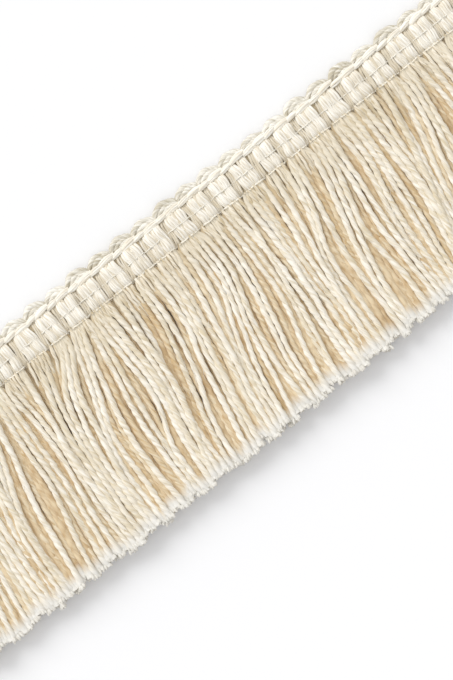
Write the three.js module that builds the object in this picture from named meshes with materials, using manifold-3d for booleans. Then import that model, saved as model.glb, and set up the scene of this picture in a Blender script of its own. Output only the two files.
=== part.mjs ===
// Brush fringe trim: a cut length of cotton trimming, lying flat.
// A ribbed woven heading has looped scallops along its upper edge and a brush of cut yarns below it.
// Millimetres, with X along the trim, +Y across it towards the scallops and +Z up off the surface.
import * as THREE from "three";
import { mergeVertices } from "three/addons/utils/BufferGeometryUtils.js";
import Module from "manifold-3d";

const wasm = await Module();
wasm.setup();

// The repeats along the trim, left to right: one scallop, two chain stitches and two ribs in each.
// They are woven by hand and eye, so their widths differ, and so does how far each scallop reaches.
const REPEATS = [
  { width: 5.6, crown: 8.8 }, { width: 5.7, crown: 8.9 }, { width: 5.5, crown: 8.7 },
  { width: 5.8, crown: 9.0 }, { width: 5.6, crown: 8.7 }, { width: 5.7, crown: 8.8 },
  { width: 5.5, crown: 8.7 }, { width: 5.8, crown: 8.9 }, { width: 5.6, crown: 8.7 },
  { width: 5.2, crown: 9.0 }, { width: 5.3, crown: 8.8 }, { width: 5.6, crown: 9.1 },
  { width: 5.6, crown: 8.9 }, { width: 5.5, crown: 9.0 }, { width: 5.5, crown: 8.6 },
  { width: 5.8, crown: 9.0 }, { width: 5.2, crown: 8.8 }, { width: 5.4, crown: 8.9 },
  { width: 5.7, crown: 8.6 }, { width: 5.5, crown: 8.4 }, { width: 5.5, crown: 8.5 },
  { width: 5.7, crown: 8.9 }, { width: 5.6, crown: 8.7 }, { width: 5.7, crown: 8.8 },
  { width: 5.8, crown: 8.6 }, { width: 6.1, crown: 8.8 }, { width: 5.3, crown: 8.5 },
  { width: 5.5, crown: 8.8 }, { width: 5.2, crown: 8.6 },
];
const LEFT = -79.9; // the left end, with x = 0 near the middle of the trim
const BOUNDARIES = REPEATS.reduce((ends, { width }) => [...ends, ends.at(-1) + width], [LEFT]);
const RIGHT = BOUNDARIES.at(-1);

// One ring of a heading piece at each row of its profile, in every repeat, and one at the right end.
function ringsAlong(profile, ringAt) {
  const rings = REPEATS.flatMap((repeat, n) =>
    profile.map((row) => ringAt(BOUNDARIES[n] + row.along * repeat.width, row, repeat.crown)),
  );
  return [...rings, ringAt(RIGHT, profile[0], REPEATS.at(-1).crown)];
}

// Across the trim, y = 0 is the row of thread where the brush leaves the heading.
const BAND_WIDTH = 5.9;
const PIECE_GAP = 0.3;
const BRUSH_LENGTH = 41.4;
const CUT_UNEVENNESS = 0.7; // how far the cut ends differ in length, each way

// A repeatable number from -1 to 1 for each whole number, which stands in for handmade unevenness.
function uneven(n) {
  const s = Math.sin(n * 12.9898 + 4.1414) * 43758.5453;
  return 2 * (s - Math.floor(s)) - 1;
}

// A closed solid through equal rings of points, with flat ends.
// Each ring runs anticlockwise as seen from the end that the rings lead to.
function loft(rings) {
  const sides = rings[0].length;
  const last = (rings.length - 1) * sides;
  const index = [];
  for (let r = 0; r < last; r += sides) {
    for (let s = 0; s < sides; s++) {
      const t = (s + 1) % sides;
      index.push(r + s, r + t, r + sides + t, r + s, r + sides + t, r + sides + s);
    }
  }
  for (let s = 1; s < sides - 1; s++) {
    index.push(0, s + 1, s, last, last + s, last + s + 1);
  }
  const geometry = new THREE.BufferGeometry();
  geometry.setAttribute("position", new THREE.Float32BufferAttribute(rings.flat(2), 3));
  geometry.setIndex(index);
  return geometry;
}

// Ribbed band: a flat tape with two rounded ribs to a repeat, and a lower strip left of each pair.
// Three rows of thread pinch the ribs across.
const TAPE_HEIGHT = 1.6;
const RIB_HEIGHT = 1.1;
const RIB_PROFILE = [
  { along: 0.0, rise: 0.0 },
  { along: 0.2, rise: 0.4 },
  { along: 0.27, rise: 0.95 },
  { along: 0.54, rise: 1.0 },
  { along: 0.6, rise: 0.3 },
  { along: 0.66, rise: 0.95 },
  { along: 0.95, rise: 0.9 },
];
const RIB_ROWS = [
  { across: 0.0, pinch: 0.45 },
  { across: 0.12, pinch: 0.95 },
  { across: 0.38, pinch: 1.0 },
  { across: 0.5, pinch: 0.72 },
  { across: 0.62, pinch: 1.0 },
  { across: 0.88, pinch: 0.95 },
  { across: 1.0, pinch: 0.45 },
];

function bandGeometry() {
  const rings = ringsAlong(RIB_PROFILE, (x, { rise }) => {
    const top = RIB_ROWS.map(({ across, pinch }) => [
      x,
      across * BAND_WIDTH,
      TAPE_HEIGHT + RIB_HEIGHT * rise * pinch,
    ]);
    return [[x, BAND_WIDTH, 0], [x, 0, 0], ...top].reverse();
  });
  return loft(rings);
}

// Scalloped edge: a row of soft loops, lying beyond the band.
const SCALLOP_INNER = BAND_WIDTH + PIECE_GAP;
const SCALLOP_CUSP = 7.5; // how far out the edge reaches between two loops
const SCALLOP_HEIGHT = { atCusp: 1.3, atCrown: 1.9 };
const SCALLOP_ARCH = [
  { along: 0.0, arch: 0.0 },
  { along: 0.17, arch: 0.7 },
  { along: 0.33, arch: 0.93 },
  { along: 0.5, arch: 1.0 },
  { along: 0.67, arch: 0.93 },
  { along: 0.83, arch: 0.7 },
];
const SCALLOP_SECTION = [
  // inward is from the outermost point, and share is from the inner side towards that point
  { inward: 0.35, up: 0 },
  { inward: 0, up: 0.35 },
  { inward: 0.2, up: 0.72 },
  { share: 0.62, up: 1 },
  { share: 0, up: 0.85 },
  { share: 0, up: 0 },
];

function scallopGeometry() {
  const { atCusp, atCrown } = SCALLOP_HEIGHT;
  const rings = ringsAlong(SCALLOP_ARCH, (x, { arch }, crown) => {
    const reach = SCALLOP_CUSP + (crown - SCALLOP_CUSP) * arch;
    const height = atCusp + (atCrown - atCusp) * arch;
    return SCALLOP_SECTION.map(({ inward, share, up }) => [
      x,
      share === undefined ? reach - inward : SCALLOP_INNER + share * (reach - SCALLOP_INNER),
      up * height,
    ]);
  });
  return loft(rings);
}

// Chain cord: fat slanting stitches, a short and a long one to a repeat, over the join of the
// band and the scallops. Climb is how far a stitch lies across the trim from their middle line.
const CHAIN_MIDDLE = 6.5;
const CHAIN_UNDERSIDE = 2.4;
const CHAIN_HALF_WIDTH = 0.78;
const CHAIN_HEIGHT = 0.85;
const CHAIN_PROFILE = [
  { along: 0.0, fatness: 0.62, climb: -0.15 },
  { along: 0.18, fatness: 1.0, climb: 0.0 },
  { along: 0.38, fatness: 0.62, climb: -0.15 },
  { along: 0.6, fatness: 1.0, climb: 0.0 },
  { along: 0.82, fatness: 0.9, climb: 0.15 },
];
const CHAIN_SECTION = [
  { side: 0.6, up: 0 },
  { side: 1, up: 0.45 },
  { side: 0.5, up: 1 },
  { side: -0.5, up: 1 },
  { side: -1, up: 0.45 },
  { side: -0.6, up: 0 },
];

function chainGeometry() {
  const rings = ringsAlong(CHAIN_PROFILE, (x, { fatness, climb }) =>
    CHAIN_SECTION.map(({ side, up }) => [
      x,
      CHAIN_MIDDLE + climb + side * CHAIN_HALF_WIDTH * fatness,
      CHAIN_UNDERSIDE + up * CHAIN_HEIGHT * fatness,
    ]),
  );
  return loft(rings);
}

// The brush: separate yarns in three layers, fused only where a narrow tape holds their roots.
// Depth is 0 at the root and 1 at the cut end.
const ROOT_TAPE_UNDERSIDE = 0.25; // the tape is drawn up clear of the surface
const ROOT_INSIDE = -0.8; // yarns start here, inside the tape
const YARN_WIDTH = 1.25;
const YARN_HEIGHT = 1.0;
const YARN_ROOT_HEIGHT = 0.75;
const YARN_CLEARANCE = 0.15;
const KNEE = 0.12; // the depth at which a yarn has risen to the level of its layer

// The uppermost yarns, left to right, as they lie in the photograph: their places along the trim
// at the root, a quarter, half and three quarters of their length and at the cut end, and how many
// yarns fill the space before the next one. A wide space with none is a parting.
const UPPERMOST = [
  { at: [-78.0, -79.4, -81.0, -82.4, -83.4], between: 4 },
  { at: [-70.0, -71.2, -72.8, -74.4, -75.6], between: 3 },
  { at: [-63.4, -64.6, -66.2, -68.0, -69.8], between: 2 },
  { at: [-58.6, -59.8, -61.4, -62.4, -63.8], between: 1 },
  { at: [-55.4, -57.2, -59.4, -59.6, -59.4], between: 2 },
  { at: [-48.8, -50.6, -54.0, -57.2, -58.5], between: 0 },
  { at: [-47.2, -49.4, -53.0, -54.8, -55.0], between: 0 },
  { at: [-45.4, -47.2, -49.8, -51.3, -52.8], between: 0 },
  { at: [-43.6, -44.6, -45.2, -47.5, -49.1], between: 0 },
  { at: [-42.6, -43.2, -43.8, -45.2, -46.4], between: 0 },
  { at: [-41.8, -42.0, -42.4, -43.6, -44.4], between: 0 },
  { at: [-40.6, -39.8, -40.4, -42.0, -42.8], between: 0 },
  { at: [-39.4, -39.2, -38.9, -39.2, -38.8], between: 1 },
  { at: [-32.2, -35.1, -37.2, -38.2, -37.8], between: 0 },
  { at: [-31.4, -33.8, -35.6, -37.0, -37.2], between: 0 },
  { at: [-26.2, -32.2, -34.4, -35.8, -36.4], between: 0 },
  { at: [-25.2, -30.7, -33.4, -34.6, -35.2], between: 0 },
  { at: [-24.4, -29.2, -31.4, -33.2, -33.6], between: 0 },
  { at: [-23.4, -26.8, -30.4, -32.2, -32.4], between: 0 },
  { at: [-22.6, -25.6, -29.2, -29.9, -30.6], between: 0 },
  { at: [-21.4, -24.2, -26.4, -27.0, -26.8], between: 0 },
  { at: [-19.8, -21.3, -23.0, -23.7, -23.6], between: 0 },
  { at: [-18.8, -19.9, -21.4, -22.6, -22.6], between: 0 },
  { at: [-18.0, -18.1, -18.4, -21.5, -22.0], between: 0 },
  { at: [-17.0, -16.6, -16.8, -18.8, -19.6], between: 0 },
  { at: [-15.6, -15.4, -15.8, -17.6, -18.5], between: 0 },
  { at: [-14.2, -13.9, -14.9, -16.5, -17.3], between: 0 },
  { at: [-10.8, -11.4, -14.0, -15.6, -15.8], between: 0 },
  { at: [ -7.4,  -7.6, -10.4, -13.2, -14.6], between: 0 },
  { at: [ -6.2,  -6.5,  -8.6, -11.9, -13.0], between: 0 },
  { at: [ -3.4,  -3.6,  -6.6,  -8.4, -10.0], between: 0 },
  { at: [ -2.0,  -2.3,  -4.8,  -6.8,  -8.3], between: 0 },
  { at: [ -1.4,  -1.8,  -3.6,  -6.0,  -7.8], between: 0 },
  { at: [ -1.0,  -0.9,  -1.4,  -2.5,  -3.4], between: 0 },
  { at: [  2.5,   1.3,  -0.9,  -2.0,  -2.9], between: 0 },
  { at: [  4.4,   3.8,   1.2,  -1.9,  -3.6], between: 0 },
  { at: [  5.8,   5.9,   2.2,  -0.9,  -2.6], between: 0 },
  { at: [  7.2,   7.0,   4.0,   0.8,  -0.5], between: 0 },
  { at: [  8.2,   8.0,   5.0,   3.1,   1.4], between: 0 },
  { at: [  9.2,   8.9,   6.6,   5.1,   4.9], between: 0 },
  { at: [ 11.6,  11.0,   9.6,   7.4,   6.1], between: 0 },
  { at: [ 12.3,  11.9,  10.3,   8.3,   7.6], between: 0 },
  { at: [ 14.5,  14.3,  13.8,  11.4,  10.0], between: 0 },
  { at: [ 15.4,  15.8,  15.5,  13.6,  12.8], between: 0 },
  { at: [ 16.6,  17.4,  17.3,  16.9,  16.9], between: 0 },
  { at: [ 20.2,  20.1,  19.6,  18.2,  17.4], between: 0 },
  { at: [ 21.2,  21.4,  20.6,  19.9,  18.8], between: 0 },
  { at: [ 22.2,  21.8,  21.6,  21.8,  20.8], between: 0 },
  { at: [ 24.8,  24.3,  22.5,  22.4,  21.6], between: 0 },
  { at: [ 30.8,  28.6,  25.4,  24.0,  23.8], between: 0 },
  { at: [ 31.2,  29.6,  26.3,  25.8,  25.4], between: 0 },
  { at: [ 31.8,  31.0,  29.5,  29.0,  28.8], between: 0 },
  { at: [ 36.8,  34.6,  32.2,  30.6,  30.3], between: 0 },
  { at: [ 38.0,  36.1,  33.8,  31.3,  31.2], between: 0 },
  { at: [ 39.0,  37.5,  35.2,  35.7,  35.6], between: 0 },
  { at: [ 39.9,  39.2,  38.0,  38.4,  38.6], between: 0 },
  { at: [ 41.0,  40.4,  39.8,  39.4,  39.3], between: 0 },
  { at: [ 43.2,  43.0,  41.4,  40.2,  40.0], between: 0 },
  { at: [ 44.4,  44.4,  42.6,  41.5,  41.0], between: 0 },
  { at: [ 46.2,  46.0,  45.0,  43.5,  42.6], between: 0 },
  { at: [ 46.9,  46.8,  46.0,  44.7,  43.8], between: 0 },
  { at: [ 49.0,  49.0,  48.8,  47.0,  45.8], between: 0 },
  { at: [ 50.2,  50.0,  49.8,  48.2,  47.0], between: 0 },
  { at: [ 52.2,  51.6,  51.0,  49.6,  48.6], between: 1 },
  { at: [ 58.0,  56.2,  53.6,  51.2,  49.8], between: 0 },
  { at: [ 59.2,  58.2,  55.6,  53.4,  52.0], between: 0 },
  { at: [ 60.4,  59.6,  57.6,  55.6,  54.0], between: 0 },
  { at: [ 61.4,  60.6,  59.4,  57.6,  56.0], between: 0 },
  { at: [ 63.6,  64.0,  63.6,  62.4,  61.2], between: 1 },
  { at: [ 67.4,  67.8,  67.4,  66.2,  65.0], between: 1 },
  { at: [ 71.0,  71.2,  70.6,  69.4,  68.2], between: 1 },
  { at: [ 74.5,  74.5,  73.8,  72.6,  71.4], between: 1 },
  { at: [ 78.0,  77.8,  77.0,  75.6,  74.4], between: 1 },
  { at: [ 81.0,  80.6,  79.6,  78.2,  77.0], between: 0 },
];

// A yarn's line: its place along the trim at any depth, smooth through those five places.
function yarnLine(at) {
  return new THREE.SplineCurve(at.map((x) => new THREE.Vector2(x, 0)));
}

// These ride over the yarns between them, which are blended from the two beside them.
const UPPERMOST_LIFT = 0.55;
const BETWEEN_LIFT = 0.2;

function upperYarns() {
  return UPPERMOST.flatMap(({ at, between }, n) => {
    const filling = Array.from({ length: between }, (_, k) => {
      const share = (k + 1) / (between + 1);
      const blended = at.map((x, place) => x + (UPPERMOST[n + 1].at[place] - x) * share);
      return { line: yarnLine(blended), lift: BETWEEN_LIFT * (1 + uneven(31 * n + k)) };
    });
    return [{ line: yarnLine(at), lift: UPPERMOST_LIFT }, ...filling];
  });
}

// The lower layers' yarns leave the heading evenly and lean one way, in slow waves.
// The lowest lie on the surface, and those of the middle layer over the spaces between them.
const LOWER_SPACES = 103;
const LOWER_LEAN = [0, -1.0, -2.6, -4.1, -5.2]; // at the root, quarter, half, three quarters and end
const LOWER_SWAY = [0, 0.45, 0.6, 0.7, 0.8];
const SWAY_WAVES = [
  { length: 4.7, share: 1.0, start: 1.3 },
  { length: 2.1, share: 0.7, start: 2.6 },
];

function lowerYarns(count, shift) {
  const spacing = (RIGHT - LEFT - YARN_WIDTH) / LOWER_SPACES;
  return Array.from({ length: count }, (_, n) => {
    const root = LEFT + YARN_WIDTH / 2 + (n + shift) * spacing;
    const wave = SWAY_WAVES.reduce(
      (sum, { length, share, start }) => sum + share * Math.sin(root / length + start),
      0,
    );
    const at = LOWER_LEAN.map((lean, place) => root + lean + LOWER_SWAY[place] * wave);
    return { line: yarnLine(at), lift: 0 };
  });
}

// Moves a row of yarns apart, each as little as it can, until no two are closer than spacing.
function partYarns(places, spacing) {
  const runs = [];
  places.forEach((place, n) => {
    let run = { sum: place - n * spacing, count: 1 };
    while (runs.length && runs.at(-1).sum / runs.at(-1).count > run.sum / run.count) {
      const before = runs.pop();
      run = { sum: run.sum + before.sum, count: run.count + before.count };
    }
    runs.push(run);
  });
  const shifts = runs.flatMap(({ sum, count }) => Array(count).fill(sum / count));
  return shifts.map((shift, n) => shift + n * spacing);
}

// One layer: three-sided yarns, flat below and ridged above, through the layer's depths.
function layerYarns(yarns, { depths, rootLevel, rootUnevenness, level, seed }) {
  const spacing = YARN_WIDTH + YARN_CLEARANCE;
  const rows = depths.map((depth) =>
    partYarns(yarns.map(({ line }) => line.getPoint(depth).x), spacing),
  );
  return yarns.map(({ lift }, n) => {
    const root = rootLevel + rootUnevenness * uneven(3 * seed + n);
    const rings = depths.map((depth, d) => {
      const risen = Math.min(depth / KNEE, 1);
      const longer = depth === 1 ? CUT_UNEVENNESS * uneven(seed + n) : 0;
      const x = rows[d][n];
      const y = ROOT_INSIDE - (BRUSH_LENGTH + ROOT_INSIDE) * depth - longer;
      const z = root + (level + lift - root) * risen;
      const height = YARN_ROOT_HEIGHT + (YARN_HEIGHT - YARN_ROOT_HEIGHT) * risen;
      return [
        [x + YARN_WIDTH / 2, y, z],
        [x, y, z + height],
        [x - YARN_WIDTH / 2, y, z],
      ];
    });
    return loft(rings);
  });
}

const UPPER_LAYER = {
  depths: [0, KNEE, 0.3, 0.5, 0.75, 1],
  rootLevel: 1.75,
  rootUnevenness: 0.06,
  level: 2.6,
  seed: 101,
};
const MIDDLE_LAYER = {
  depths: [0, KNEE, 0.5, 1],
  rootLevel: 0.9,
  rootUnevenness: 0.06,
  level: 1.3,
  seed: 409,
};
const LOWEST_LAYER = {
  depths: [0, 0.45, 1],
  rootLevel: 0,
  rootUnevenness: 0,
  level: 0,
  seed: 733,
};

// The root tape swells around each bundle of yarns, one bundle to a repeat.
const ROOT_TAPE_PROFILE = [
  { along: 0.0, face: -1.15, height: 2.8 },
  { along: 0.5, face: -1.45, height: 3.0 },
];

function rootTapeGeometry() {
  const rings = ringsAlong(ROOT_TAPE_PROFILE, (x, { face, height }) => [
    [x, -PIECE_GAP, height],
    [x, face, height],
    [x, face, ROOT_TAPE_UNDERSIDE],
    [x, -PIECE_GAP, ROOT_TAPE_UNDERSIDE],
  ]);
  return loft(rings);
}

// A closed geometry as a manifold solid, and a solid back as a geometry.
function toSolid(geometry) {
  const merged = mergeVertices(geometry);
  return new wasm.Manifold(
    new wasm.Mesh({
      numProp: 3,
      vertProperties: merged.attributes.position.array,
      triVerts: new Uint32Array(merged.index.array),
    }),
  );
}

function fromSolid(solid) {
  const mesh = solid.getMesh();
  const geometry = new THREE.BufferGeometry();
  geometry.setAttribute("position", new THREE.Float32BufferAttribute(mesh.vertProperties, 3));
  geometry.setIndex(new THREE.Uint32BufferAttribute(mesh.triVerts, 1));
  return geometry;
}

function brushGeometry() {
  const yarns = [
    ...layerYarns(upperYarns(), UPPER_LAYER),
    ...layerYarns(lowerYarns(LOWER_SPACES, 0.5), MIDDLE_LAYER),
    ...layerYarns(lowerYarns(LOWER_SPACES + 1, 0), LOWEST_LAYER),
  ];
  return fromSolid(yarns.reduce((made, yarn) => made.add(toSolid(yarn)), toSolid(rootTapeGeometry())));
}

// Undyed cotton, each piece in the tone that it has in the photograph.
function cotton(colour, roughness) {
  return new THREE.MeshStandardMaterial({ color: colour, roughness, metalness: 0, flatShading: true });
}

const PIECES = [
  { name: "ribbed_band", geometry: bandGeometry(), material: cotton("#ebe4d4", 0.92) },
  { name: "scallop_edge", geometry: scallopGeometry(), material: cotton("#ddd6c4", 0.92) },
  { name: "chain_cord", geometry: chainGeometry(), material: cotton("#f1ebdd", 0.88) },
  { name: "brush_yarns", geometry: brushGeometry(), material: cotton("#ecdfc4", 0.9) },
];

// The origin is on the surface that the trim lies on, under the middle of the trim.
const trim = new THREE.Group();
trim.name = "brush_fringe_trim";
for (const { name, geometry, material } of PIECES) {
  const mesh = new THREE.Mesh(geometry, material);
  mesh.name = name;
  trim.add(mesh);
}
const middle = new THREE.Box3().setFromObject(trim).getCenter(new THREE.Vector3());
trim.position.set(-middle.x, -middle.y, 0);

export default trim;
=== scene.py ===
"""A cut length of cotton brush fringe on a white table, seen from straight above.

Sizes are in millimetres of the trim until a mesh is made, with x along it and y across it.
The row of thread where the brush leaves the heading is y = 0, and the scallops are at +y.
"""

import math

import bmesh
import bpy
import numpy as np
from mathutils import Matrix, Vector


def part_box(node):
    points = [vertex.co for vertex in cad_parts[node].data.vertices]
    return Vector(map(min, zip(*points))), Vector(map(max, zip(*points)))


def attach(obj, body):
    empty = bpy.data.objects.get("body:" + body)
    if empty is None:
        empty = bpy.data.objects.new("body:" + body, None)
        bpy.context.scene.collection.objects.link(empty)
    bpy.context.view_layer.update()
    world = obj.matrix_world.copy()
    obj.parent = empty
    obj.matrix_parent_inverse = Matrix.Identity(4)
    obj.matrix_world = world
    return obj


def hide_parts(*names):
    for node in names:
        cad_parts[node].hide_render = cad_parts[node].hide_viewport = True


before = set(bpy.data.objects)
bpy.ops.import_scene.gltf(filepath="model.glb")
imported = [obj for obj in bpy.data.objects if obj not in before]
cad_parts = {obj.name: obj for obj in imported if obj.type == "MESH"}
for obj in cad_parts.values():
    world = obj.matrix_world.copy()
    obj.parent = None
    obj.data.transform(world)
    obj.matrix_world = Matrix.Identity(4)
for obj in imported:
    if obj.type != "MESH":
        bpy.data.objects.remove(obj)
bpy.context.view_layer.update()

# The brush: some 430 soft two-ply cotton yarns, laid side by side in four layers and cut level.
# The uppermost have been pushed about, so they lean, part and bunch up into locks.
# The two upper layers are made ply by ply. Only slivers of the two below show, so each yarn is one strand.
MM = 0.001
LEFT = -79.9
REPEATS = [
    # width, and how far out the crown of its scallop reaches
    (5.6, 8.8), (5.7, 8.9), (5.5, 8.7), (5.8, 9.0), (5.6, 8.7), (5.7, 8.8), (5.5, 8.7), (5.8, 8.9),
    (5.6, 8.7), (5.2, 9.0), (5.3, 8.8), (5.6, 9.1), (5.6, 8.9), (5.5, 9.0), (5.5, 8.6), (5.8, 9.0),
    (5.2, 8.8), (5.4, 8.9), (5.7, 8.6), (5.5, 8.4), (5.5, 8.5), (5.7, 8.9), (5.6, 8.7), (5.7, 8.8),
    (5.8, 8.6), (6.1, 8.8), (5.3, 8.5), (5.5, 8.8), (5.2, 8.6),
]
BOUNDARIES = LEFT + np.cumsum([0] + [width for width, _ in REPEATS])
RIGHT = BOUNDARIES[-1]
BRUSH_LENGTH = 41.4
CUT_UNEVENNESS = 0.85  # how far the cut ends differ in length, each way
YARN_LAY = 4.4  # one full turn of the two plies
PLY_APART = 0.145  # from the middle of a yarn to the middle of each ply
band_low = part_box("ribbed_band")[0]
TRIM_ORIGIN = Vector((band_low.x / MM - LEFT, band_low.y / MM, 0.0))

# The uppermost yarns as they lie in the photograph: their places along the trim at the root, a quarter,
# half and three quarters of their length and at the cut end, and how many yarns lie before the next.
UPPERMOST = [
    # root, quarter, half, three quarters, cut end, between
    (-78.0, -79.4, -81.0, -82.4, -83.4, 4),
    (-70.0, -71.2, -72.8, -74.4, -75.6, 3),
    (-63.4, -64.6, -66.2, -68.0, -69.8, 2),
    (-58.6, -59.8, -61.4, -62.4, -63.8, 1),
    (-55.4, -57.2, -59.4, -59.6, -59.4, 2),
    (-48.8, -50.6, -54.0, -57.2, -58.5, 0),
    (-47.2, -49.4, -53.0, -54.8, -55.0, 0),
    (-45.4, -47.2, -49.8, -51.3, -52.8, 0),
    (-43.6, -44.6, -45.2, -47.5, -49.1, 0),
    (-42.6, -43.2, -43.8, -45.2, -46.4, 0),
    (-41.8, -42.0, -42.4, -43.6, -44.4, 0),
    (-40.6, -39.8, -40.4, -42.0, -42.8, 0),
    (-39.4, -39.2, -38.9, -39.2, -38.8, 1),
    (-32.2, -35.1, -37.2, -38.2, -37.8, 0),
    (-31.4, -33.8, -35.6, -37.0, -37.2, 0),
    (-26.2, -32.2, -34.4, -35.8, -36.4, 0),
    (-25.2, -30.7, -33.4, -34.6, -35.2, 0),
    (-24.4, -29.2, -31.4, -33.2, -33.6, 0),
    (-23.4, -26.8, -30.4, -32.2, -32.4, 0),
    (-22.6, -25.6, -29.2, -29.9, -30.6, 0),
    (-21.4, -24.2, -26.4, -27.0, -26.8, 0),
    (-19.8, -21.3, -23.0, -23.7, -23.6, 0),
    (-18.8, -19.9, -21.4, -22.6, -22.6, 0),
    (-18.0, -18.1, -18.4, -21.5, -22.0, 0),
    (-17.0, -16.6, -16.8, -18.8, -19.6, 0),
    (-15.6, -15.4, -15.8, -17.6, -18.5, 0),
    (-14.2, -13.9, -14.9, -16.5, -17.3, 0),
    (-10.8, -11.4, -14.0, -15.6, -15.8, 0),
    ( -7.4,  -7.6, -10.4, -13.2, -14.6, 0),
    ( -6.2,  -6.5,  -8.6, -11.9, -13.0, 0),
    ( -3.4,  -3.6,  -6.6,  -8.4, -10.0, 0),
    ( -2.0,  -2.3,  -4.8,  -6.8,  -8.3, 0),
    ( -1.4,  -1.8,  -3.6,  -6.0,  -7.8, 0),
    ( -1.0,  -0.9,  -1.4,  -2.5,  -3.4, 0),
    (  2.5,   1.3,  -0.9,  -2.0,  -2.9, 0),
    (  4.4,   3.8,   1.2,  -1.9,  -3.6, 0),
    (  5.8,   5.9,   2.2,  -0.9,  -2.6, 0),
    (  7.2,   7.0,   4.0,   0.8,  -0.5, 0),
    (  8.2,   8.0,   5.0,   3.1,   1.4, 0),
    (  9.2,   8.9,   6.6,   5.1,   4.9, 0),
    ( 11.6,  11.0,   9.6,   7.4,   6.1, 0),
    ( 12.3,  11.9,  10.3,   8.3,   7.6, 0),
    ( 14.5,  14.3,  13.8,  11.4,  10.0, 0),
    ( 15.4,  15.8,  15.5,  13.6,  12.8, 0),
    ( 16.6,  17.4,  17.3,  16.9,  16.9, 0),
    ( 20.2,  20.1,  19.6,  18.2,  17.4, 0),
    ( 21.2,  21.4,  20.6,  19.9,  18.8, 0),
    ( 22.2,  21.8,  21.6,  21.8,  20.8, 0),
    ( 24.8,  24.3,  22.5,  22.4,  21.6, 0),
    ( 30.8,  28.6,  25.4,  24.0,  23.8, 0),
    ( 31.2,  29.6,  26.3,  25.8,  25.4, 0),
    ( 31.8,  31.0,  29.5,  29.0,  28.8, 0),
    ( 36.8,  34.6,  32.2,  30.6,  30.3, 0),
    ( 38.0,  36.1,  33.8,  31.3,  31.2, 0),
    ( 39.0,  37.5,  35.2,  35.7,  35.6, 0),
    ( 39.9,  39.2,  38.0,  38.4,  38.6, 0),
    ( 41.0,  40.4,  39.8,  39.4,  39.3, 0),
    ( 43.2,  43.0,  41.4,  40.2,  40.0, 0),
    ( 44.4,  44.4,  42.6,  41.5,  41.0, 0),
    ( 46.2,  46.0,  45.0,  43.5,  42.6, 0),
    ( 46.9,  46.8,  46.0,  44.7,  43.8, 0),
    ( 49.0,  49.0,  48.8,  47.0,  45.8, 0),
    ( 50.2,  50.0,  49.8,  48.2,  47.0, 0),
    ( 52.2,  51.6,  51.0,  49.6,  48.6, 1),
    ( 58.0,  56.2,  53.6,  51.2,  49.8, 0),
    ( 59.2,  58.2,  55.6,  53.4,  52.0, 0),
    ( 60.4,  59.6,  57.6,  55.6,  54.0, 0),
    ( 61.4,  60.6,  59.4,  57.6,  56.0, 0),
    ( 63.6,  64.0,  63.6,  62.4,  61.2, 1),
    ( 67.4,  67.8,  67.4,  66.2,  65.0, 1),
    ( 71.0,  71.2,  70.6,  69.4,  68.2, 1),
    ( 74.5,  74.5,  73.8,  72.6,  71.4, 1),
    ( 78.0,  77.8,  77.0,  75.6,  74.4, 1),
    ( 81.0,  80.6,  79.6,  78.2,  77.0, 0),
]


def uneven(n):
    """A repeatable number from -1 to 1 for each whole number: handmade unevenness."""
    s = math.sin(n * 12.9898 + 4.1414) * 43758.5453
    return 2 * (s - math.floor(s)) - 1


def smooth_line(places, depth):
    """A Catmull-Rom curve through five evenly spaced places, at depths from 0 to 1."""
    knots = np.array([places[0], *places, places[-1]])
    n = np.minimum((depth * 4).astype(int), 3)
    u = depth * 4 - n
    a, b, c, d = knots[n], knots[n + 1], knots[n + 2], knots[n + 3]
    return 0.5 * (2 * b + (c - a) * u + (2 * a - 5 * b + 4 * c - d) * u**2 + (3 * b - 3 * c + d - a) * u**3)


def part_yarns(places, spacing):
    """Moves a row of yarns apart, each as little as it can, until none are closer than spacing."""
    runs = []
    for n, place in enumerate(places):
        run = [place - n * spacing, 1]
        while runs and runs[-1][0] / runs[-1][1] > run[0] / run[1]:
            before = runs.pop()
            run = [run[0] + before[0], run[1] + before[1]]
        runs.append(run)
    shifts = [total / count for total, count in runs for _ in range(count)]
    return [shift + n * spacing for n, shift in enumerate(shifts)]


LIFT_OF_UPPERMOST = 0.3
TUCKED_SPACING = 1.85  # a gap between two upper yarns holds a tucked one for each such width


def upper_yarns():
    """Five places and a lift for each uppermost yarn, and for the yarns that lie between two."""
    yarns = []
    for n, (*places, between) in enumerate(UPPERMOST):
        yarns.append((places, LIFT_OF_UPPERMOST + 0.25 * uneven(17 * n)))
        for k in range(between):
            share = (k + 1) / (between + 1)
            blended = [a + (b - a) * share for a, b in zip(places, UPPERMOST[n + 1])]
            yarns.append((blended, 0.2 * uneven(31 * n + k)))
    return yarns


def tucked_yarns():
    """Yarns that show from just below, each between two neighbours of the uppermost layer."""
    upper = upper_yarns()
    yarns = []
    for n, ((a, _), (b, _)) in enumerate(zip(upper, upper[1:])):
        gap = max(q - p for p, q in zip(a, b))
        count = int(gap / TUCKED_SPACING)
        for k in range(count):
            share = (k + 1) / (count + 1)
            yarns.append(([p + (q - p) * share for p, q in zip(a, b)], 0.25 * uneven(53 * n + k)))
    return yarns


def even_yarns(count):
    """Evenly laid yarns of a lower layer, which lean one way in slow waves."""
    yarns = []
    for root in np.linspace(LEFT + 0.7, RIGHT - 0.7, count):
        wave = math.sin(root / 4.7 + 1.3) + 0.7 * math.sin(root / 2.1 + 2.6)
        lean = np.array([0, -1.0, -2.6, -4.1, -5.2]) + wave * np.array([0, 0.45, 0.6, 0.7, 0.8])
        yarns.append((list(root + lean), 0))
    return yarns


def lay(yarns, depths, spacing):
    """The x of every yarn of a layer at every depth, one row of the array for each yarn."""
    free = np.array([smooth_line(places, depths) for places, _ in yarns])
    return np.array([part_yarns(column, spacing) for column in free.T]).T


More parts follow.
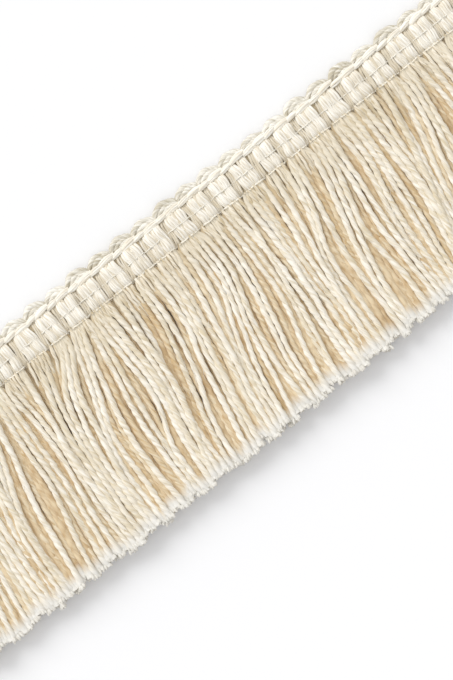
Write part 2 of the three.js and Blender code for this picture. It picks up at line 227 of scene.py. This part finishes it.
TOP_LEVEL = 3.1
SHORTER_BELOW = 0.5  # how much shorter a yarn is cut for each millimetre that its layer lies lower
RISES_WITHIN = 0.12  # the share of a yarn's length in which it rises from its root to its layer
STEPS_ASIDE = 1.15  # how far a root keeps from the line between two repeats
STEPS_BACK_WITHIN = 0.07  # the share of its length in which it is back in its place
PLIES_OPEN_FROM = 0.93  # the share of its length from which its plies open towards the cut
SHIFT_AT_ROOT = 0.13  # how much farther apart the plies lie at the root


def strands(yarns, seed, stations, level, climb, root_level, girth, spacing, lay_length, plies):
    """The strands of one layer of yarns, each as its line, its turn and girth along it, and its tone.
    The two plies of a yarn wind round each other, and lie side by side at its root."""
    depths = np.linspace(0, 1, stations)
    rows = lay(yarns, depths, spacing)
    rising = np.clip(depths / RISES_WITHIN, 0, 1)
    risen = rising * rising * (3 - 2 * rising)
    at_root = (1 - np.clip(depths / STEPS_BACK_WITHIN, 0, 1)) ** 2
    at_cut = np.clip((depths - PLIES_OPEN_FROM) / (1 - PLIES_OPEN_FROM), 0, 1)
    drawn_in = SHORTER_BELOW * (TOP_LEVEL - min(level, TOP_LEVEL))
    made = []
    for n, ((_, lift), x) in enumerate(zip(yarns, rows)):
        u = [uneven(seed + 7 * n + k) for k in range(9)]
        locks = 0.6 * math.sin(x[-1] / 1.1 + 2 * math.sin(x[-1] / 4.3)) + 0.25 * math.sin(x[-1] / 0.47)
        end = 1 + (CUT_UNEVENNESS * (locks + 0.35 * u[0]) - drawn_in) / BRUSH_LENGTH
        boundary = BOUNDARIES[np.argmin(np.abs(BOUNDARIES - x[0]))]
        clear = max(0, STEPS_ASIDE - abs(x[0] - boundary)) * (1 if x[0] > boundary else -1)
        waver = 0.14 * np.sin(depths * (9 + 3 * u[1]) + 3 * u[2]) + 0.04 * np.sin(depths * 31 + 3 * u[3])
        rise = 0.14 * np.sin(depths * (7 + 2 * u[3]) + 3 * u[4])
        line = np.stack(
            [
                x + clear * at_root + waver * risen,
                -0.1 - (BRUSH_LENGTH - 0.1) * end * depths,
                root_level + (level + lift + climb * depths**2 - root_level + rise) * risen,
            ],
            axis=1,
        )
        turns = BRUSH_LENGTH / (lay_length * (1 + 0.25 * u[6]))
        turn = 3 * u[5] - math.tau * turns * depths + 0.4 * np.sin(depths * 17 + 3 * u[7])
        for ply in range(plies):
            w = [uneven(seed + 29 * n + 11 * ply + k + 4000) for k in range(4)]
            slub = 0.08 * np.sin(depths * (23 + 6 * w[0]) + 3 * w[1])
            slub = slub + 0.05 * np.sin(depths * (61 + 9 * w[2]))
            fat = girth * (1 + 0.15 * u[8] + slub) * (1 + 0.1 * at_cut)
            strand = line.copy()
            if plies > 1:
                fat = fat * (0.7 + 0.3 * risen)
                apart = PLY_APART * (1 + 0.3 * np.sin(depths * (13 + 4 * w[3]) + 3 * w[0]) + 0.35 * at_cut)
                about = (turn + math.pi * ply) * risen + math.pi * ply * (1 - risen)
                strand[:, 0] += (apart + SHIFT_AT_ROOT * (1 - risen)) * np.cos(about)
                strand[:, 2] += apart * np.sin(about) * (0.25 + 0.75 * risen)
            strand[:, 2] = np.maximum(strand[:, 2], fat)
            made.append((strand, turn / plies, fat, 0.52 + 0.45 * u[2] + 0.15 * w[3]))
    return made


def two_lobed(points, waist):
    """The section of a soft strand, 1 mm from its middle to its farthest point."""
    section = bpy.data.curves.new("strand_section", "CURVE")
    spline = section.splines.new("POLY")
    spline.points.add(points - 1)
    spline.use_cyclic_u = True
    for n, point in enumerate(spline.points):
        turn = math.tau * n / points
        reach = MM * (waist + (1 - waist) * abs(math.cos(turn)) ** 1.3)
        point.co = (reach * math.cos(turn), reach * math.sin(turn), 0, 1)
    return bpy.data.objects.new("strand_section", section)


def spin(name, yarns, section):
    """One mesh of many yarns. A yarn is its line, its turn and girth along it, and its tone."""
    curve = bpy.data.curves.new(name, "CURVE")
    curve.dimensions = "3D"
    curve.twist_mode = "Z_UP"
    curve.bevel_mode = "OBJECT"
    curve.bevel_object = section
    curve.use_fill_caps = True
    for line, turn, girth, _ in yarns:
        spline = curve.splines.new("POLY")
        spline.points.add(len(line) - 1)
        placed = np.ones((len(line), 4))
        placed[:, :3] = (line + np.array(TRIM_ORIGIN)) * MM
        spline.points.foreach_set("co", placed.ravel())
        spline.points.foreach_set("tilt", turn)
        spline.points.foreach_set("radius", girth)
    wound = bpy.data.objects.new(name, curve)
    bpy.context.scene.collection.objects.link(wound)
    mesh = bpy.data.meshes.new_from_object(wound.evaluated_get(bpy.context.evaluated_depsgraph_get()))
    bpy.data.objects.remove(wound)
    sides = len(section.data.splines[0].points)
    tones = [tone for _, _, _, tone in yarns]
    caps = np.repeat(tones[::-1], 2 * sides)
    tubes = np.repeat(tones, [sides * len(line) for line, _, _, _ in yarns])
    mesh.attributes.new("tone", "FLOAT", "POINT").data.foreach_set("value", np.append(caps, tubes))
    welded = bmesh.new()
    welded.from_mesh(mesh)
    bmesh.ops.remove_doubles(welded, verts=welded.verts, dist=1e-7)
    welded.to_mesh(mesh)
    welded.free()
    for polygon in mesh.polygons:
        polygon.use_smooth = True
    piece = bpy.data.objects.new(name, mesh)
    bpy.context.scene.collection.objects.link(piece)
    return piece


def linear(hex_colour):
    """An sRGB hex colour as Blender's linear one."""
    parts = [int(hex_colour[n : n + 2], 16) / 255 for n in (1, 3, 5)]
    return (*[c / 12.92 if c < 0.04045 else ((c + 0.055) / 1.055) ** 2.4 for c in parts], 1)


def node(tree, kind, settings=None, **links):
    """Adds a node with its settings, and joins or sets its inputs, given by name or, as _0, by number."""
    made = tree.nodes.new(kind)
    for key, value in (settings or {}).items():
        setattr(made, key, value)
    for key, value in links.items():
        socket = made.inputs[int(key[1:])] if key[1:].isdigit() else made.inputs[key.replace("_", " ")]
        if isinstance(value, bpy.types.NodeSocket):
            tree.links.new(value, socket)
        else:
            socket.default_value = value
    return made


STREAK_LENGTH = 3.0
STREAKS_ROUND = 7.0


def spun_cotton(name, pale, dark, length, root=None, tip=None, lay=None):
    """Carded cotton, spun and plied soft: matt, a little fuzzy, with fibres that run along it.
    Each strand has its own tone, and is cloudy and streaked. A fibre, 0.02 mm thick, is too fine to show,
    so the streaks are drawn 3 mm long and seven to the strand's girth, and the clouds 4 mm wide.
    Where it has a lay, two threads wind round each other once in that length, with a soft groove between,
    bumped in and painted darker as painted shade."""
    made = bpy.data.materials.new(name)
    made.use_nodes = True
    tree = made.node_tree
    shader = tree.nodes["Principled BSDF"]
    shader.inputs["Roughness"].default_value = 0.9
    shader.inputs["IOR"].default_value = 1.45
    shader.inputs["Specular IOR Level"].default_value = 0.2
    shader.inputs["Sheen Weight"].default_value = 0.45
    shader.inputs["Sheen Roughness"].default_value = 0.5
    tone = node(tree, "ShaderNodeAttribute", {"attribute_name": "tone"}).outputs["Fac"]
    times = {"operation": "MULTIPLY"}
    uv = node(tree, "ShaderNodeUVMap", {"uv_map": "UVMap"})
    place = node(tree, "ShaderNodeSeparateXYZ", Vector=uv.outputs[0])
    on_yarn = node(
        tree, "ShaderNodeCombineXYZ",
        X=node(tree, "ShaderNodeMath", times, _0=place.outputs[0], _1=length / STREAK_LENGTH).outputs[0],
        Y=node(tree, "ShaderNodeMath", times, _0=place.outputs[1], _1=STREAKS_ROUND).outputs[0],
        Z=node(tree, "ShaderNodeMath", times, _0=tone, _1=60.0).outputs[0],
    )
    streaks = node(tree, "ShaderNodeTexNoise", Vector=on_yarn.outputs[0], Scale=1.0, Detail=3.0)
    in_space = node(tree, "ShaderNodeTexCoord")
    clouds = node(tree, "ShaderNodeTexNoise", Vector=in_space.outputs["Object"], Scale=260.0, Detail=3.0)
    plus = {"operation": "MULTIPLY_ADD"}
    added = {"operation": "MULTIPLY_ADD", "use_clamp": True}
    cloudy = node(tree, "ShaderNodeMath", plus, _0=clouds.outputs["Fac"], _1=0.6, _2=-0.25)
    streaked = node(tree, "ShaderNodeMath", plus, _0=streaks.outputs["Fac"], _1=2.2, _2=cloudy.outputs[0])
    toned = node(tree, "ShaderNodeMath", plus, _0=tone, _1=0.45, _2=streaked.outputs[0])
    height = streaks.outputs["Fac"]
    # The groove between the plies is bumped in, and also painted darker: painted shade in the crease.
    if lay:
        around = node(tree, "ShaderNodeMath", times, _0=place.outputs[1], _1=math.tau)
        turns = math.tau * length / lay
        turn = node(tree, "ShaderNodeMath", plus, _0=place.outputs[0], _1=turns, _2=around.outputs[0])
        wave = node(tree, "ShaderNodeMath", {"operation": "SINE"}, _0=turn.outputs[0])
        thread = node(tree, "ShaderNodeMath", {"operation": "ABSOLUTE"}, _0=wave.outputs[0])
        toned = node(tree, "ShaderNodeMath", plus, _0=thread.outputs[0], _1=-0.3, _2=toned.outputs[0])
        toned = node(tree, "ShaderNodeMath", {"operation": "ADD"}, _0=toned.outputs[0], _1=0.19)
        height = node(tree, "ShaderNodeMath", plus, _0=thread.outputs[0], _1=0.4, _2=height).outputs[0]
    shaded = node(tree, "ShaderNodeMath", added, _0=toned.outputs[0], _1=1.2, _2=-1.2)
    colour = node(tree, "ShaderNodeMix", {"data_type": "RGBA"}, _0=shaded.outputs[0])
    colour.inputs[6].default_value = linear(pale)
    colour.inputs[7].default_value = linear(dark)
    coloured = colour.outputs[2]
    # The root colour is painted shade: the heading and the close-lying strands keep light off the roots. The
    # tip colour is the paler open fibre at the cut.
    ends = [
        # colour, the share of the length where it begins and where it is full, and how full
        (root, 0.2, 0.03, 0.8),
        (tip, 0.92, 0.975, 1.0),
    ]
    for end_colour, none, full, most in ends:
        if end_colour:
            near = node(
                tree, "ShaderNodeMapRange", Value=place.outputs[0], From_Min=none, From_Max=full, To_Max=most
            )
            changed = node(tree, "ShaderNodeMix", {"data_type": "RGBA"}, _0=near.outputs[0], _6=coloured)
            changed.inputs[7].default_value = linear(end_colour)
            coloured = changed.outputs[2]
    tree.links.new(coloured, shader.inputs["Base Color"])
    bump = node(tree, "ShaderNodeBump", Height=height, Strength=0.7, Distance=0.00015)
    tree.links.new(bump.outputs[0], shader.inputs["Normal"])
    return made


# Unbleached cotton: cream on the uppermost yarns, painted a little greyer at the root as painted shade, and
# whiter at the cut.
# Light that has gone through cotton turns warm, so the yarns between them and below them are painted tan:
# painted shade, pale again near the cut.
brush_cotton = spun_cotton(
    "carded_cotton_brush_yarn", "#f6f0e4", "#d9cbae", BRUSH_LENGTH, root="#d8cdb6", tip="#e6e3dc"
)
tucked_cotton_painted_shade = spun_cotton(
    "carded_cotton_brush_yarn_between_painted_shade", "#e8dabf", "#c9ae83", BRUSH_LENGTH, root="#cfc1a5", tip="#e4e1da"
)
lower_cotton_painted_shade = spun_cotton(
    "carded_cotton_brush_yarn_below_painted_shade",
    "#e0cdac",
    "#c0a47c",
    BRUSH_LENGTH,
    root="#bfae8e",
    tip="#e2dfd8",
    lay=YARN_LAY,
)

LAYERS = [
    # name, cotton, sides of a strand, and then what strands() takes: the yarns, seed, stations, level,
    # climb to the tips, level of the roots, girth, least spacing, length of a full turn, plies
    ("upper", brush_cotton, 7, upper_yarns(), 101, 70, TOP_LEVEL, -0.1, 2.75, 0.54, 1.18, YARN_LAY, 2),
    ("tucked", tucked_cotton_painted_shade, 7, tucked_yarns(), 211, 70, 2.74, 0.05, 2.45, 0.52, 1.15, YARN_LAY, 2),
    ("middle", lower_cotton_painted_shade, 8, even_yarns(140), 409, 52, 2.26, 0.4, 1.8, 0.84, 1.1, 14.0, 1),
    ("lowest", lower_cotton_painted_shade, 8, even_yarns(125), 733, 30, 1.0, 0.2, 0.95, 0.92, 1.1, 16.0, 1),
]
brush_tips = []
for name, cotton, sides, *layer_values in LAYERS:
    spun = strands(*layer_values)
    brush_tips += [(line[-1], line[-1] - line[-4], tone) for line, _, _, tone in spun]
    layer = spin(f"brush_{name}_yarns", spun, two_lobed(sides, 0.85))
    layer.data.materials.append(cotton)
    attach(layer, "root")
    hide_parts("brush_yarns")

# Strays: a few yarns of the same cotton lie over the others, across the way that those run.
# They were pushed out of place in handling, and are held at the root like the rest.
STRAYS = [
    # places along the trim at the root, quarter, half, three quarters and cut end
    (-66.5, -67.0, -68.9, -71.6, -74.9),
    (-51.5, -52.4, -54.3, -55.2, -55.6),
    (-36.0, -37.2, -38.4, -38.6, -38.0),
    (-12.2, -12.6, -13.4, -15.9, -18.6),
    (18.4, 17.6, 16.2, 14.6, 13.2),
    (27.6, 26.2, 24.2, 22.9, 22.4),
    (55.0, 53.6, 51.0, 48.2, 46.4),
    (70.0, 68.8, 66.2, 64.0, 62.6),
]
strays = strands([(places, 0) for places in STRAYS], 883, 70, 3.8, -0.2, 2.9, 0.5, 1.1, YARN_LAY, 2)
brush_tips += [(line[-1], line[-1] - line[-4], tone) for line, _, _, tone in strays]
stray_piece = spin("brush_stray_yarns", strays, two_lobed(7, 0.85))
stray_piece.data.materials.append(brush_cotton)
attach(stray_piece, "root")

# The roots: where the yarns leave the heading their strands still lie apart, fine and greyish.
# They fan out of the foot of each repeat and sink between the yarns within a few millimetres.
ROOT_STRANDS = [0.15, 0.29, 0.43, 0.57, 0.71, 0.85]  # shares of the repeat's width
ROOT_PATH = [
    # depth, level, girth
    (-0.006, 2.3, 0.28),
    (0.008, 2.72, 0.36),
    (0.03, 3.05, 0.38),
    (0.06, 3.15, 0.38),
    (0.1, 3.0, 0.35),
    (0.15, 2.7, 0.29),
    (0.2, 2.3, 0.2),
]
FOLLOWED_SPACING = 1.15  # of the upper yarns' lines, where finer things follow them
path_depth, path_level, path_girth = np.array(ROOT_PATH).T
root_depths = np.linspace(path_depth[0], path_depth[-1], 24)
upper_rows = lay(upper_yarns(), np.clip(root_depths, 0, 1), FOLLOWED_SPACING)
root_strands = []
for n, (width, _) in enumerate(REPEATS):
    for k, share in enumerate(ROOT_STRANDS):
        u = [uneven(5003 + 67 * n + 9 * k + j) for j in range(5)]
        root = BOUNDARIES[n] + width * (share + 0.02 * u[0])
        flow = np.array([np.interp(root, upper_rows[:, 0], column) for column in upper_rows.T]) - root
        stray = 0.3 * u[1] * root_depths / path_depth[-1]
        x = root + flow + stray + 0.05 * np.sin(root_depths * 90 + 3 * u[2])
        z = np.interp(root_depths, path_depth, path_level) + 0.22 * u[3]
        line = np.stack([x, -BRUSH_LENGTH * root_depths, z], axis=1)
        girth = np.interp(root_depths, path_depth, path_girth) * (1 + 0.12 * u[4])
        root_strands.append((line, 3 * u[2] - 50 * root_depths, girth, 0.5 + 0.5 * u[0]))

# The same cotton, painted greyer because little light gets down between strands that lie so close: painted
# shade.
roots = spin("brush_root_strands", root_strands, two_lobed(8, 0.8))
roots.data.materials.append(spun_cotton("carded_cotton_root_strand", "#ece3d1", "#c4b391", 8.0, lay=YARN_LAY))
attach(roots, "root")
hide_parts("brush_yarns")

# The cut ends: where a soft yarn is cut its plies open into pale tufts, a few lumps to each end.
TUFTS_PER_END = 5
TUFT_STATIONS = np.array([0, 0.35, 0.65, 0.88, 1])  # shares of a tuft's length
TUFT_GIRTHS = np.array([0.2, 0.3, 0.32, 0.24, 0.08])
TUFT_STARTS_BACK = 0.9  # inside the end of its yarn
TUFT_LEAST_LEVEL = 0.4
lumps = []
for n, (tip, heading, tone) in enumerate(brush_tips):
    ahead = heading / np.linalg.norm(heading)
    for k in range(TUFTS_PER_END):
        u = [uneven(9001 + 97 * n + 13 * k + j) for j in range(6)]
        start = tip + np.array([0.5 * u[0], TUFT_STARTS_BACK, 0.35 * u[1]])
        reach = ahead * (1.15 + 0.25 * u[2]) + np.array([0.2 * u[3] + 0.15 * u[0], 0, 0.2 + 0.2 * u[4]])
        line = np.stack([start + share * reach for share in TUFT_STATIONS])
        line[:, 2] = np.maximum(line[:, 2], TUFT_LEAST_LEVEL)
        turn = np.full(len(line), 3 * u[5])
        lumps.append((line, turn, TUFT_GIRTHS * (1 + 0.25 * u[5]), 0.5 + 0.5 * u[4]))

# Open cut fibre scatters the light, so it is nearly white and has hardly any streaks.
tufts = spin("brush_cut_tufts", lumps, two_lobed(6, 0.8))
tufts.data.materials.append(spun_cotton("cut_cotton_fibre", "#e8e5dd", "#d8d3c9", 1.3))
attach(tufts, "root")

# Loose fibres: hairs of cotton that have worked out of the yarns, and arch a little above them.
# A real one is 0.02 mm thick, too fine to show, so they are drawn three times as coarse.
LOOSE_FIBRES = 800
FIBRE_GIRTH = 0.03
FIBRE_LEVEL = 3.5
all_depths = np.linspace(0, 1, 60)
yarn_rows = lay(upper_yarns(), all_depths, FOLLOWED_SPACING)
fibre_arc = np.linspace(0, 1, 8)
hairs = []
for n in range(LOOSE_FIBRES):
    u = [uneven(6007 + 37 * n + j) for j in range(8)]
    row = yarn_rows[int((0.5 + 0.5 * u[0]) * (len(yarn_rows) - 1))]
    depth = 0.12 + 0.4 * (1 + u[2]) + (0.07 + 0.03 * u[1]) * fibre_arc
    aside = 0.6 * u[3] + u[4] * (fibre_arc - 0.5) + 0.12 * np.sin(fibre_arc * 6)
    x = np.interp(depth, all_depths, row) + aside
    z = FIBRE_LEVEL + 0.25 * u[6] + (0.3 + 0.2 * u[7]) * np.sin(math.pi * fibre_arc)
    line = np.stack([x, -BRUSH_LENGTH * depth, z], axis=1)
    hairs.append((line, np.zeros(len(line)), np.full(len(line), FIBRE_GIRTH), 0.5 + 0.5 * u[5]))
loose = spin("brush_loose_fibres", hairs, two_lobed(3, 1.0))
loose.data.materials.append(spun_cotton("loose_cotton_hair", "#fbf8f1", "#eee6d6", 3.0))
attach(loose, "root")

# The ground of the heading: a narrow tape of the same cotton, woven close, which the ribs pass over.
# It shows only as a tan shadow between the ribs, and on the back.
TAPE_FRONT, TAPE_BACK = -1.8, 7.0
TAPE_HEIGHT = 1.65
TAPE_ROUNDING = 0.25
tape_mesh = bmesh.new()
bmesh.ops.create_cube(tape_mesh, size=1)
bmesh.ops.scale(
    tape_mesh,
    vec=((RIGHT - LEFT) * MM, (TAPE_BACK - TAPE_FRONT) * MM, TAPE_HEIGHT * MM),
    verts=tape_mesh.verts,
)
tape_middle = Vector(((LEFT + RIGHT) / 2, (TAPE_FRONT + TAPE_BACK) / 2, TAPE_HEIGHT / 2))
bmesh.ops.translate(tape_mesh, vec=(tape_middle + TRIM_ORIGIN) * MM, verts=tape_mesh.verts)
bmesh.ops.bevel(
    tape_mesh,
    geom=tape_mesh.edges[:],
    offset=TAPE_ROUNDING * MM,
    segments=2,
    profile=0.5,
    affect="EDGES",
    material=-1,
)
tape_data = bpy.data.meshes.new("band_ground_tape")
tape_mesh.to_mesh(tape_data)
tape_mesh.free()
tape = bpy.data.objects.new("band_ground_tape", tape_data)
bpy.context.scene.collection.objects.link(tape)
# Close plain weave, whose threads are hidden by the ribs: it only shows between them, painted warm and dull
# as painted shade.
tape.data.materials.append(spun_cotton("close_woven_cotton_tape_painted_shade", "#dfd1b4", "#c4ae88", 20.0))
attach(tape, "root")

# The ribs: twelve fine yarns to a repeat go over the tape. Three are low, eight are in two clumps of four,
# and one fills the seam between those. Thread along the middle and the edges pinches them into pillows.
BAND_WIDTH = 5.9
RIB_FOOT = 1.15  # the level from which the ribs rise
RIB_YARNS = [
    # place in the repeat, crest, girth, the middle of the clump that it is in, and its slant
    (0.02, 1.98, 0.31, 0.12, 0.5),
    (0.11, 1.88, 0.31, 0.12, 0.5),
    (0.195, 1.95, 0.31, 0.12, 0.5),
    (0.27, 2.36, 0.37, 0.4, 0.0),
    (0.355, 2.66, 0.37, 0.4, 0.0),
    (0.44, 2.7, 0.37, 0.4, 0.0),
    (0.525, 2.44, 0.37, 0.4, 0.0),
    (0.595, 2.25, 0.4, 0.595, 0.0),
    (0.665, 2.44, 0.37, 0.79, 0.0),
    (0.75, 2.7, 0.37, 0.79, 0.0),
    (0.835, 2.7, 0.37, 0.79, 0.0),
    (0.92, 2.4, 0.37, 0.79, 0.0),
]
TOWARD_THE_OTHER_CLUMP = {0.12: 0, 0.4: 1, 0.595: 0, 0.79: -1}
SEAM_YARN = 7  # it is hardly pinched
CLOSED_UP = 0.03  # in some repeats the clumps lie this much closer, as a share of its width
ribs = []
across = np.linspace(-0.35, BAND_WIDTH + 0.3, 24)
inside = np.clip(across / BAND_WIDTH, 0, 1)
plump = np.abs(np.sin(inside * math.tau)) ** 0.8
held = 0.45 + 0.42 * np.sin(inside * math.pi)
crest_share = held + (1 - held) * plump
for n, (width, _) in enumerate(REPEATS):
    closed = CLOSED_UP if uneven(401 * n) > 0.35 else 0
    for k, (place, crest, girth, clump, slant) in enumerate(RIB_YARNS):
        u = [uneven(1201 + 83 * n + 11 * k + j) for j in range(4)]
        c = [uneven(71 * n + int(100 * clump) + j) for j in range(4)]
        centre = BOUNDARIES[n] + width * (clump + closed * TOWARD_THE_OTHER_CLUMP[clump] + 0.012 * c[0])
        spread = (0.86 + 0.16 * plump) * (width * (place - clump) * (1 + 2.5 * closed) + 0.05 * u[0])
        lean = (0.4 * c[1] + slant * (1 + c[3])) * (inside - 0.5)
        waver = 0.05 * np.sin(across * 2 + 3 * u[2]) + 0.08 * np.sin(across * 1.3 + 3 * c[3])
        x = centre + spread + lean + waver
        pinch = 0.25 if k == SEAM_YARN else 1
        rise = crest + 0.1 * u[1] + 0.12 * c[2] - RIB_FOOT
        z = RIB_FOOT + rise * (1 - pinch * (1 - crest_share))
        line = np.stack([x, across, z], axis=1)
        turn = 3 * u[2] - across * math.tau / 12.0
        # The low yarns and the seam yarn get a dark tone: painted shade in the recess between the clumps. The
        # clumps' yarns vary at random.
        tone = 0.35 + 0.35 * u[1] if TOWARD_THE_OTHER_CLUMP[clump] else 1.4 + 0.3 * u[1]
        ribs.append((line, turn, np.full(len(across), girth * (1 + 0.08 * u[3])), tone))

# Painted paler than the brush, because these yarns lie on top and catch the light: painted light. Streaked
# along each rib.
heading_cotton = spun_cotton("carded_cotton_heading_yarn", "#faf6ed", "#dacfb9", BAND_WIDTH)
rib_piece = spin("band_rib_yarns", ribs, two_lobed(7, 0.9))
rib_piece.data.materials.append(heading_cotton)
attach(rib_piece, "root")
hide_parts("ribbed_band")

# The rows of thread that pinch the ribs: fine hard cotton, over each clump and down between.
# One runs along the ribs' foot and one along their middle. The chain covers the third.
THREAD_PATH = [
    # place in the repeat, share of the way from its lowest level to its highest
    (0.0, 0.0), (0.2, 0.0), (0.26, 0.85), (0.4, 1.0), (0.53, 0.9), (0.59, 0.8), (0.66, 0.9), (0.79, 1.0),
    (0.92, 0.85), (0.97, 0.0),
]
ROWS_OF_THREAD = [
    # y, lowest, highest, girth
    (0.05, 1.75, 2.6, 0.25),
    (0.5 * BAND_WIDTH + 0.25, 2.0, 2.8, 0.16),
]
thread_x = np.arange(LEFT, RIGHT, 0.25)
threads = []
for row, (y, lowest, highest, girth) in enumerate(ROWS_OF_THREAD):
    points = []
    for n, (width, _) in enumerate(REPEATS):
        for k, (place, share) in enumerate(THREAD_PATH):
            sag = 0.13 * uneven(307 * n + 11 * k + row)
            points.append((BOUNDARIES[n] + place * width, y + sag, lowest + (highest - lowest) * share))
    x, across_y, height = np.array(points).T
    line = np.stack([thread_x, np.interp(thread_x, x, across_y), np.interp(thread_x, x, height)], axis=1)
    threads.append((line, thread_x * 2.5, np.full(len(line), girth), 0.2))
# Hard-spun sewing cotton: smooth and pale, so it reads as a fine clean line.
thread_piece = spin("band_pinching_threads", threads, two_lobed(6, 0.8))
thread_piece.data.materials.append(spun_cotton("fine_cotton_sewing_thread", "#fbf7ec", "#ebe2d0", 160.0))
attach(thread_piece, "root")

# The scallops: a gimp of soft yarns is thrown out in a fan at each repeat, and caught down between.
# The outermost yarn runs from notch to notch, and the inner ones start farther along.
LOOP_YARNS = [
    # where it starts, a share of the repeat, how far inside the crown it turns, girth, level
    (0.03, 0.4, 0.82, 1.35),
    (0.15, 1.16, 0.68, 1.7),
    (0.29, 1.78, 0.62, 1.85),
]
LOOP_FOOT, LOOP_FOOT_LEVEL = 6.5, 0.95  # y and level where it is caught down
arc = np.linspace(0, 1, 20)
loops = []
for n, (width, crown) in enumerate(REPEATS):
    for k, (start, inward, girth, level) in enumerate(LOOP_YARNS):
        u = [uneven(3301 + 61 * n + 17 * k + j) for j in range(5)]
        first = start + 0.02 * (u[3] - 1)
        x = BOUNDARIES[n] + width * (first + (1.0 - first) * arc)
        foot = LOOP_FOOT + (0.35 - 0.05 * k) * arc
        bow = np.sin(math.pi * arc ** (0.88 + 0.06 * k)) ** 0.62
        y = foot + (crown - inward + 0.08 * u[4] - foot) * bow
        z = LOOP_FOOT_LEVEL + (level - LOOP_FOOT_LEVEL) * bow + 0.06 * u[0]
        fat = girth * (0.75 + 0.25 * bow) * (1 + 0.08 * u[1])
        loops.append((np.stack([x, y, z], axis=1), arc * 8 + 3 * u[1], fat, 0.5 + 0.5 * u[2]))
# Soft gimp in pale greyish cream, with darker streaks between its fibres, so each loop looks round.
scallops = spin("scallop_loop_yarns", loops, two_lobed(8, 0.8))
scallops.data.materials.append(spun_cotton("carded_cotton_gimp_yarn", "#f7f3e9", "#c1b8a2", 7.0))
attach(scallops, "root")
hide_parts("scallop_edge")

# The chain: soft stitches that slant up to the right over the foot of the loops, a short one and
# a long one to each repeat, each tucked under the next.
STITCHES = [
    # start and end as shares of the repeat, girth, how far its middle bows out
    (-0.1, 0.46, 0.3, 0.0),
    (0.32, 1.06, 0.34, 0.13),
]
CHAIN_FOOT, CHAIN_CLIMB = 6.2, 0.5  # y where a stitch starts, and how far out it climbs
CHAIN_LOW, CHAIN_SWELL = 1.9, 0.5  # the level of its ends, and how much higher its middle is
SPREAD_FOR_GIRTH = 0.27  # the girth that the spacing of the strands below is given for
SIDE_BY_SIDE = [(-0.28, -0.1), (0.0, 0.04), (0.28, -0.06)]  # y and z from the middle of a stitch
stitch_arc = np.linspace(0, 1, 14)
stitches = []
for n, (width, _) in enumerate(REPEATS):
    for k, (start, end, girth, bow) in enumerate(STITCHES):
        u = [uneven(7507 + 41 * n + 19 * k + j) for j in range(8)]
        x = BOUNDARIES[n] + width * (start + 0.02 * u[0] + (end - start) * stitch_arc)
        y = CHAIN_FOOT + 0.12 * u[1] + CHAIN_CLIMB * (1 + 0.4 * u[5]) * stitch_arc**0.8
        swell = np.sin(math.pi * np.clip(stitch_arc, 0.04, 0.96))
        y = y + bow * swell
        z = CHAIN_LOW + CHAIN_SWELL * swell**0.8 + 0.06 * u[2]
        for aside, lower in SIDE_BY_SIDE:
            v = [uneven(int(8803 + 53 * n + 17 * k + 100 * aside) + j) for j in range(3)]
            fat = girth * (0.7 + 0.3 * swell**0.6) * (1 + 0.12 * v[0])
            spread = (aside * girth / SPREAD_FOR_GIRTH + 0.06 * v[1]) * (0.55 + 0.45 * swell)
            beside = spread + 0.05 * np.sin(4 * stitch_arc + 3 * v[2])
            path = np.stack([x + 0.1 * v[2], y + beside, z + lower + 0.05 * v[1]], axis=1)
            stitches.append((path, 2.5 * stitch_arc + 3 * v[2], fat, 0.5 + 0.5 * v[1]))
# Soft thick cotton thread, the palest thing on the trim, with long faint streaks.
chain = spin("chain_cord_stitches", stitches, two_lobed(8, 0.85))
chain.data.materials.append(spun_cotton("soft_cotton_chain_cord", "#fdfaf1", "#eae0cd", 4.0))
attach(chain, "root")
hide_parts("chain_cord")

# The table: a large matt white board that goes on past the picture.
# It is painted dead flat, so it only takes the trim's soft shadow.
BOARD_HALF_WIDTH = 3.0  # metres
floor_mesh = bmesh.new()
bmesh.ops.create_grid(floor_mesh, x_segments=1, y_segments=1, size=BOARD_HALF_WIDTH)
floor_data = bpy.data.meshes.new("table_top")
floor_mesh.to_mesh(floor_data)
floor_mesh.free()
table_top = bpy.data.objects.new("table_top", floor_data)
bpy.context.scene.collection.objects.link(table_top)
white_board = bpy.data.materials.new("matt_white_board")
white_board.use_nodes = True
board_shader = white_board.node_tree.nodes["Principled BSDF"]
board_shader.inputs["Base Color"].default_value = linear("#f4f4f5")
board_shader.inputs["Roughness"].default_value = 0.95
board_shader.inputs["Specular IOR Level"].default_value = 0.1
table_top.data.materials.append(white_board)

# The light: one soft lamp low over the scallops and a little to the left, and a bright room all round.
# They leave a soft grey shadow along the cut ends.
TOWARD_LAMP = (-0.4, 1.0, 0.78)
lamp_data = bpy.data.lights.new("window_light", "SUN")
lamp_data.energy = 1.7
lamp_data.angle = math.radians(36)
lamp = bpy.data.objects.new("window_light", lamp_data)
lamp.rotation_euler = Vector(TOWARD_LAMP).to_track_quat("Z", "Y").to_euler()
bpy.context.scene.collection.objects.link(lamp)
room = bpy.data.worlds.new("bright_room")
room.use_nodes = True
room.node_tree.nodes["Background"].inputs["Color"].default_value = linear("#ffffff")
room.node_tree.nodes["Background"].inputs["Strength"].default_value = 0.79
bpy.context.scene.world = room
bpy.context.scene.view_settings.view_transform = "Standard"

# The camera: straight above, far off with a long lens, and turned so that the trim climbs to the right.
TRIM_CLIMB = 38.2  # degrees
VIEW_HEIGHT = 136.0  # the table's height in the picture, whose 680 pixels are 0.2 mm each
VIEW_MIDDLE = (0, -20.6)  # the place on the trim under the middle of the picture
LENS = 135.0
SENSOR = 36.0
camera_data = bpy.data.cameras.new("camera")
camera_data.lens = LENS
camera_data.sensor_width = SENSOR
camera = bpy.data.objects.new("camera", camera_data)
camera.location = (Vector((*VIEW_MIDDLE, LENS * VIEW_HEIGHT / SENSOR)) + TRIM_ORIGIN) * MM
camera.rotation_euler = (0, 0, math.radians(-TRIM_CLIMB))
camera_data.clip_start = 0.01
camera_data.clip_end = 10
bpy.context.scene.collection.objects.link(camera)
bpy.context.scene.camera = camera
